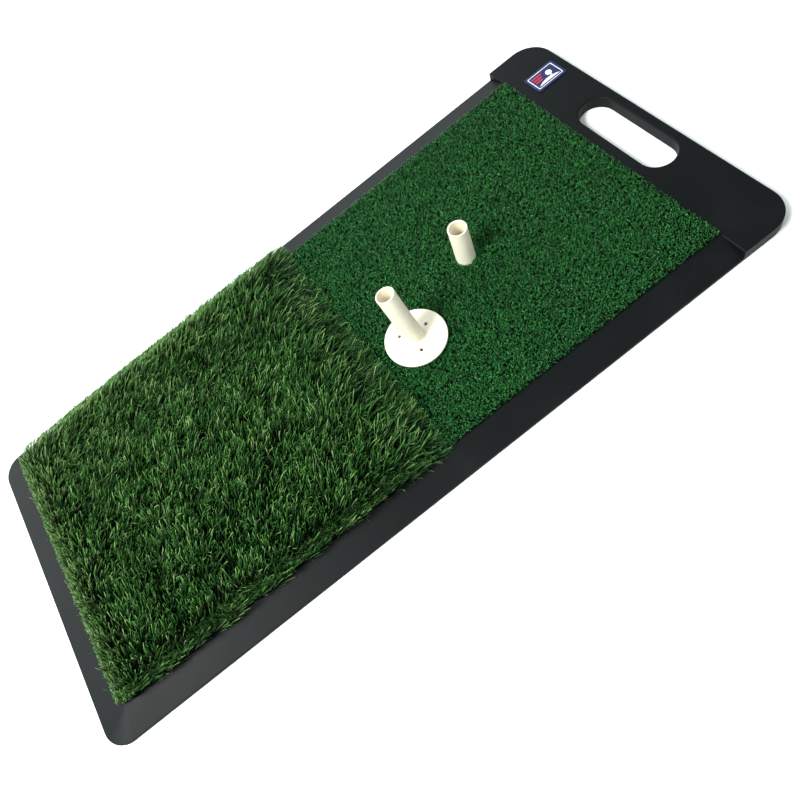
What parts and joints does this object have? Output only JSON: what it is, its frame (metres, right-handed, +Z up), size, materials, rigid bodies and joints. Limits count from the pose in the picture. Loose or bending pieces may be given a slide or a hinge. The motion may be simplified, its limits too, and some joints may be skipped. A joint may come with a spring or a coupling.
{
  "type": "golf hitting mat",
  "caption": "Flat rectangular golf practice mat: rubber tray with ramped rails and a hand slot, short and long artificial turf, an upright tube tee in the short turf and a loose spare tee.",
  "frame": {"origin": "middle of the tray's underside, on the surface the mat lies on", "axes": "+X along the mat from the long turf towards the hand slot, +Y across the mat towards the rail beside the badge, +Z up"},
  "size_m": [0.61, 0.28, 0.0703],
  "materials": {
    "base_rubber": "satin moulded black rubber with faint mould smudges",
    "glue": "thin cured glue film",
    "latex": "matt latex coat",
    "woven_backing": "woven polypropylene tape cloth",
    "fairway_yarn": "short, dense, curled nylon pile",
    "thatch_yarn": "curled thatch yarn, paler than the blades",
    "rough_yarn": "long flat blades, slightly glossy",
    "tee_rubber": "smooth ivory rubber",
    "badge_blue": "smooth moulded badge",
    "badge_white": "smooth moulded badge line",
    "badge_red": "smooth moulded badge mark"
  },
  "bodies": {
    "mat": {"rubber_base": "base_rubber", "fairway_adhesive": "glue", "fairway_latex_backing": "latex", "fairway_primary_backing": "woven_backing", "fairway_pile": "fairway_yarn", "rough_adhesive": "glue", "rough_latex_backing": "latex", "rough_primary_backing": "woven_backing", "rough_thatch": "thatch_yarn", "rough_blades": "rough_yarn", "badge_plate": "badge_blue", "badge_border": "badge_white", "badge_white_mark": "badge_white", "badge_red_mark": "badge_red"},
    "installed_tee_body": {"installed_tee": "tee_rubber"},
    "spare_tee_body": {"spare_tee": "tee_rubber"}
  },
  "joints": [
    {"name": "installed_tee_slide", "type": "slide", "parent": "mat", "child": "installed_tee_body", "axis": [0, 0, 1], "range_m": [-0.05, 0]},
    {"name": "spare_tee_lift", "type": "slide", "parent": "mat", "child": "spare_tee_body", "axis": [0, 0, 1], "range_m": [0, 0.08]}
  ]
}
